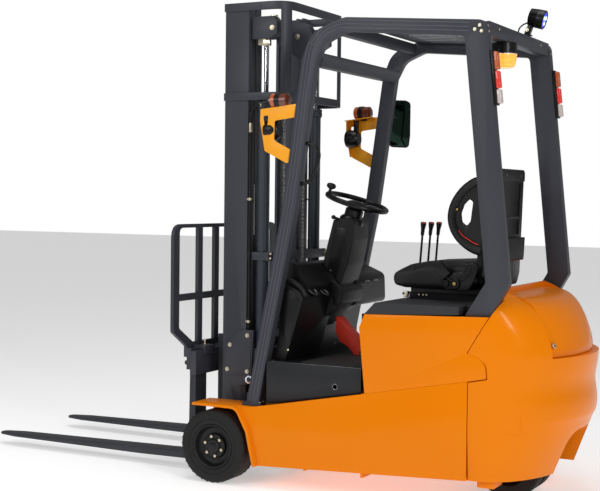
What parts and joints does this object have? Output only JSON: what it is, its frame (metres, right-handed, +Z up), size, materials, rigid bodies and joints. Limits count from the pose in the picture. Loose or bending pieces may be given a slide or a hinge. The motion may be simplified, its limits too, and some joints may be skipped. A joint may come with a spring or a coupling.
{
  "type": "three-wheel electric counterbalance forklift",
  "caption": "Compact three-wheel electric counterbalance forklift with a two-stage mast, overhead guard, seated driver's place and L-shaped forks.",
  "frame": {"origin": "on the ground, under the middle of the whole truck's bounding box", "axes": "+X forward, the way the forks point; +Y to the driver's left; +Z up"},
  "size_m": [3.1255, 1.146, 2.262],
  "materials": {
    "body_paint": "gloss",
    "slate_paint": "satin",
    "black_plastic": "matte",
    "tyre": "matte",
    "vinyl": "satin",
    "chrome": "polished",
    "black_metal": "satin",
    "red_lens": "gloss",
    "amber_lens": "gloss",
    "lamp_blue": "gloss",
    "red_paint": "gloss",
    "chain_steel": "satin",
    "hose_rubber": "matte"
  },
  "bodies": {
    "truck": {"frame": "body_paint", "front_axle": "black_metal", "counterweight": "body_paint", "rear_cover": "body_paint", "side_panel_left": "body_paint", "side_panel_right": "body_paint", "battery": "black_metal", "floor": "black_plastic", "step_panel_left": "slate_paint", "step_panel_right": "slate_paint", "dash": "black_plastic", "steering_column": "black_plastic", "red_pedal": "red_paint", "guard": "slate_paint", "guard_roof": "slate_paint", "tail_lamp_left": "red_lens", "tail_lamp_right": "red_lens", "beacon": "amber_lens", "blue_lamp": "lamp_blue", "work_lamp_left": "body_paint", "work_lamp_right": "body_paint", "mirror": "black_plastic", "grab_handle": "black_metal"},
    "hood": {"hood": "black_plastic", "seat_base": "black_plastic", "seat_cushion": "vinyl", "seat_back": "vinyl", "control_levers": "black_plastic"},
    "steering_wheel": {"steering_wheel": "black_plastic"},
    "front_wheel_left": {"tyre_left": "tyre", "rim_left": "black_metal"},
    "front_wheel_right": {"tyre_right": "tyre", "rim_right": "black_metal"},
    "steer_fork": {"steer_fork": "black_metal"},
    "rear_wheels": {"rear_wheels": "tyre"},
    "outer_mast": {"outer_mast": "slate_paint", "lift_cylinder_left": "slate_paint", "lift_cylinder_right": "slate_paint", "mast_hose_left": "hose_rubber", "mast_hose_right": "hose_rubber", "chain_rear_run": "chain_steel"},
    "inner_mast": {"inner_mast": "slate_paint", "lift_rod_left": "chrome", "lift_rod_right": "chrome", "chain_sheave": "chain_steel", "chain_front_run": "chain_steel"},
    "carriage": {"carriage": "slate_paint", "load_backrest": "slate_paint", "fork_left": "slate_paint", "fork_right": "slate_paint"},
    "tilt_cylinder_left": {"tilt_cylinder_left": "black_metal"},
    "tilt_rod_left": {"tilt_rod_left": "chrome"},
    "tilt_cylinder_right": {"tilt_cylinder_right": "black_metal"},
    "tilt_rod_right": {"tilt_rod_right": "chrome"}
  },
  "joints": [
    {"name": "front_wheel_left_spin", "type": "hinge", "parent": "truck", "child": "front_wheel_left", "pos_m": [0.0875, 0.503, 0.1715], "axis": [0, 1, 0], "continuous": true},
    {"name": "front_wheel_right_spin", "type": "hinge", "parent": "truck", "child": "front_wheel_right", "pos_m": [0.0875, -0.427, 0.1715], "axis": [0, 1, 0], "continuous": true},
    {"name": "steer_swivel", "type": "hinge", "parent": "truck", "child": "steer_fork", "pos_m": [-1.2125, 0.038, 0.33], "axis": [0, 0, 1], "range_deg": [-85, 85]},
    {"name": "rear_wheels_spin", "type": "hinge", "parent": "steer_fork", "child": "rear_wheels", "pos_m": [-1.2125, 0.038, 0.15], "axis": [0, 1, 0], "continuous": true},
    {"name": "steering_wheel_turn", "type": "hinge", "parent": "truck", "child": "steering_wheel", "pos_m": [-0.3955, 0.038, 1.319], "axis": [-0.2955, 0, 0.9553], "range_deg": [-900, 900]},
    {"name": "mast_tilt", "type": "hinge", "parent": "truck", "child": "outer_mast", "pos_m": [0.0875, 0.038, 0.1715], "axis": [0, 1, 0], "range_deg": [-5, 5]},
    {"name": "mast_lift", "type": "slide", "parent": "outer_mast", "child": "inner_mast", "axis": [0, 0, 1], "range_m": [0, 1.48], "deforming": ["chain_rear_run"]},
    {"name": "carriage_lift", "type": "slide", "parent": "inner_mast", "child": "carriage", "axis": [0, 0, 1], "range_m": [0, 1.48], "deforming": ["chain_front_run"]},
    {"name": "tilt_cylinder_left_swing", "type": "hinge", "parent": "truck", "child": "tilt_cylinder_left", "pos_m": [-0.5525, 0.372, 0.47], "axis": [0, 1, 0], "range_deg": [-1, 1]},
    {"name": "tilt_rod_left_slide", "type": "slide", "parent": "tilt_cylinder_left", "child": "tilt_rod_left", "axis": [1, 0, 0], "range_m": [-0.028, 0.028]},
    {"name": "tilt_cylinder_right_swing", "type": "hinge", "parent": "truck", "child": "tilt_cylinder_right", "pos_m": [-0.5525, -0.296, 0.47], "axis": [0, 1, 0], "range_deg": [-1, 1]},
    {"name": "tilt_rod_right_slide", "type": "slide", "parent": "tilt_cylinder_right", "child": "tilt_rod_right", "axis": [1, 0, 0], "range_m": [-0.028, 0.028]},
    {"name": "hood_open", "type": "hinge", "parent": "truck", "child": "hood", "pos_m": [-1.2025, 0.038, 0.866], "axis": [0, -1, 0], "range_deg": [0, 50]}
  ],
  "couplings": [
    {"joint": "carriage_lift", "follows": "mast_lift", "ratio": 1},
    {"joint": "tilt_cylinder_left_swing", "follows": "mast_tilt", "ratio": -0.1552},
    {"joint": "tilt_rod_left_slide", "follows": "mast_tilt", "m_per_rad": 0.2985},
    {"joint": "tilt_cylinder_right_swing", "follows": "mast_tilt", "ratio": -0.1552},
    {"joint": "tilt_rod_right_slide", "follows": "mast_tilt", "m_per_rad": 0.2985}
  ]
}
